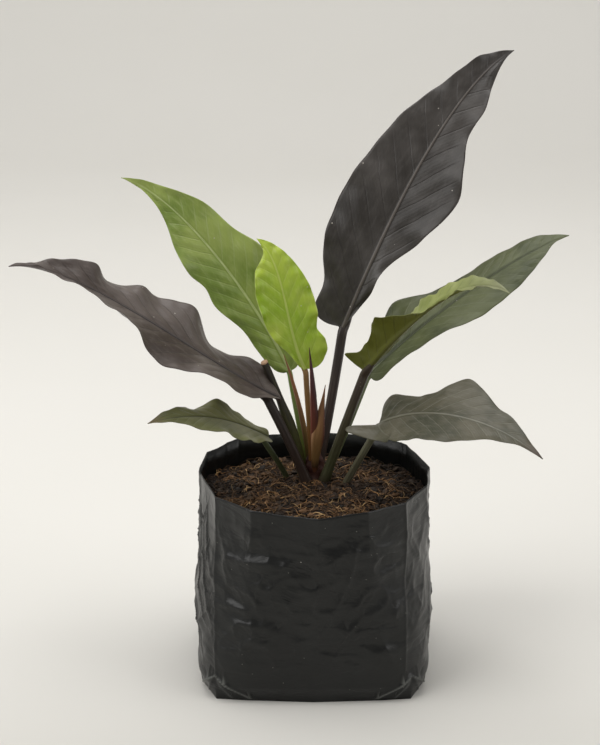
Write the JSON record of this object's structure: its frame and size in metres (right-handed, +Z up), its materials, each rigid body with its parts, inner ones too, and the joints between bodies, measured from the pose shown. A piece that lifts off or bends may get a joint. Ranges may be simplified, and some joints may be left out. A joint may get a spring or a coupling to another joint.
{
  "type": "potted anthurium",
  "caption": "Young foliage plant with wavy lance-shaped leaves on stalks, growing in a soil-filled black gusseted grow bag.",
  "frame": {"origin": "middle of the grow bag's flat bottom, on the surface it stands on", "axes": "+Z up, +X to the right of the front view, +Y to the rear; the tallest leaf leans to +X"},
  "size_m": [0.3645, 0.1879, 0.4027],
  "materials": {
    "film": "thin black polyethylene film, semi-gloss, creased",
    "potting_mix": "damp coir and bark mix, matt",
    "root": "pale fleshy roots",
    "stem": "short reddish-black stem",
    "cut_stalk": "dark stalk with a tan cut end",
    "spear": "rolled maroon new leaf, satin",
    "sheath": "papery tan sheath",
    "leaf_upper_dark": "dark brown leaf, satin",
    "stalk_upper_dark": "leaf stalk, satin",
    "leaf_left_green": "fresh green leaf, satin",
    "stalk_left_green": "leaf stalk, satin",
    "leaf_centre_lime": "lime new leaf, satin",
    "stalk_centre_lime": "leaf stalk, satin",
    "leaf_left_dark": "dark grey-brown leaf, satin",
    "stalk_left_dark": "leaf stalk, satin",
    "leaf_right_rear_green": "grey-green leaf, satin",
    "stalk_right_rear_green": "leaf stalk, satin",
    "leaf_right_front_olive": "olive leaf seen from below, satin",
    "stalk_right_front_olive": "leaf stalk, satin",
    "leaf_right_drooping": "dark grey-green leaf, satin",
    "stalk_right_drooping": "leaf stalk, satin",
    "leaf_left_low": "grey-olive leaf, satin",
    "stalk_left_low": "leaf stalk, satin"
  },
  "bodies": {
    "root": {"grow_bag": "film", "soil": "potting_mix", "roots": "root", "stem_base": "stem", "cut_petiole_stub": "cut_stalk", "leaf_spear": "spear", "front_sheath": "sheath", "side_cataphyll": "sheath", "red_bract": "sheath", "blade_upper_dark": "leaf_upper_dark", "petiole_upper_dark": "stalk_upper_dark", "blade_left_green": "leaf_left_green", "petiole_left_green": "stalk_left_green", "blade_centre_lime": "leaf_centre_lime", "petiole_centre_lime": "stalk_centre_lime", "blade_left_dark": "leaf_left_dark", "petiole_left_dark": "stalk_left_dark", "blade_right_rear_green": "leaf_right_rear_green", "petiole_right_rear_green": "stalk_right_rear_green", "blade_right_front_olive": "leaf_right_front_olive", "petiole_right_front_olive": "stalk_right_front_olive", "blade_right_drooping": "leaf_right_drooping", "petiole_right_drooping": "stalk_right_drooping", "blade_left_low": "leaf_left_low", "petiole_left_low": "stalk_left_low"}
  },
  "joints": []
}
